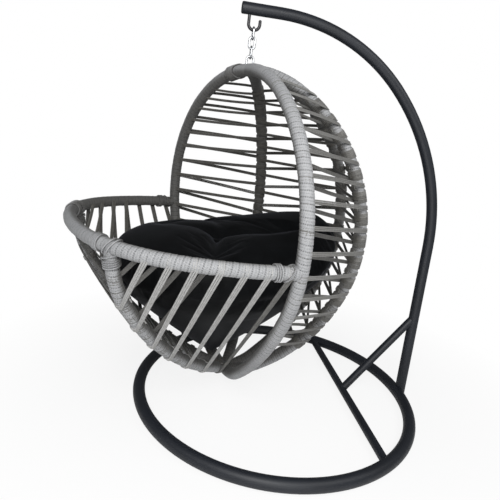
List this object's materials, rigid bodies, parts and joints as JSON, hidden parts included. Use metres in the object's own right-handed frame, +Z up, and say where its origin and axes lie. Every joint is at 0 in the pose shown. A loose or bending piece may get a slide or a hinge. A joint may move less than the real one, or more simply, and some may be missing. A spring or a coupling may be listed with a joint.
{
  "type": "hanging egg chair",
  "caption": "Hanging egg chair: a corded basket seat with a round cushion, hung by chain links from a curved mast on a ring base.",
  "frame": {"origin": "on the floor at the centre of the base ring", "axes": "+Z up, +Y from the ring's centre towards the foot of the mast, +X to the sitter's left; the basket's mouth faces -Y turned towards +X"},
  "size_m": [1.2498, 1.5888, 1.641],
  "materials": {
    "stand_steel": "blue-black powder coat, satin",
    "hook_steel": "black powder coat",
    "zinc": "bright zinc plate",
    "wound_tube": "steel tube wound close with silver-grey braided cord",
    "webbing_cord": "grey braided cord laid side by side as flat straps",
    "lashing_cord": "silver-grey braided cord",
    "cushion_velvet": "black velvet with a soft sheen"
  },
  "bodies": {
    "stand": {"base_ring": "stand_steel", "mast": "stand_steel", "mast_end_cap": "stand_steel", "cross_bar": "stand_steel", "brace": "stand_steel", "hanging_hook": "hook_steel"},
    "link_upper": {"chain_link_1": "zinc"},
    "link_middle": {"chain_link_2": "zinc"},
    "link_lower": {"chain_link_3": "zinc"},
    "basket": {"hanging_eye": "zinc", "hoop_left": "wound_tube", "hoop_right": "wound_tube", "back_rib_left": "wound_tube", "back_rib_middle": "wound_tube", "back_rib_right": "wound_tube", "rim": "wound_tube", "keel_left": "wound_tube", "keel_right": "wound_tube", "back_web_left": "webbing_cord", "back_web_mid_left": "webbing_cord", "back_web_mid_right": "webbing_cord", "back_web_right": "webbing_cord", "seat_web_left": "webbing_cord", "seat_web_right": "webbing_cord", "front_web": "webbing_cord", "top_lashing": "lashing_cord", "keel_lashing_left": "lashing_cord", "keel_lashing_right": "lashing_cord", "knot_lashing_left": "lashing_cord", "knot_lashing_right": "lashing_cord", "rim_lashing_left": "lashing_cord", "rim_lashing_right": "lashing_cord", "seat_cushion": "cushion_velvet"}
  },
  "joints": [
    {"name": "chain_swing_fore_aft", "type": "hinge", "parent": "stand", "child": "link_upper", "pos_m": [0, -0.2785, 1.5632], "axis": [1, 0, 0], "range_deg": [-5, 5]},
    {"name": "chain_swing_sideways", "type": "hinge", "parent": "link_upper", "child": "link_middle", "pos_m": [0, -0.2785, 1.51855], "axis": [0, 1, 0], "range_deg": [-8, 8]},
    {"name": "chain_twist", "type": "hinge", "parent": "link_middle", "child": "link_lower", "pos_m": [0, -0.2785, 1.48425], "axis": [0, 0, 1], "range_deg": [-18, 18]},
    {"name": "basket_rock", "type": "hinge", "parent": "link_lower", "child": "basket", "pos_m": [0, -0.2785, 1.4316], "axis": [1, 0, 0], "range_deg": [-3, 3]}
  ]
}
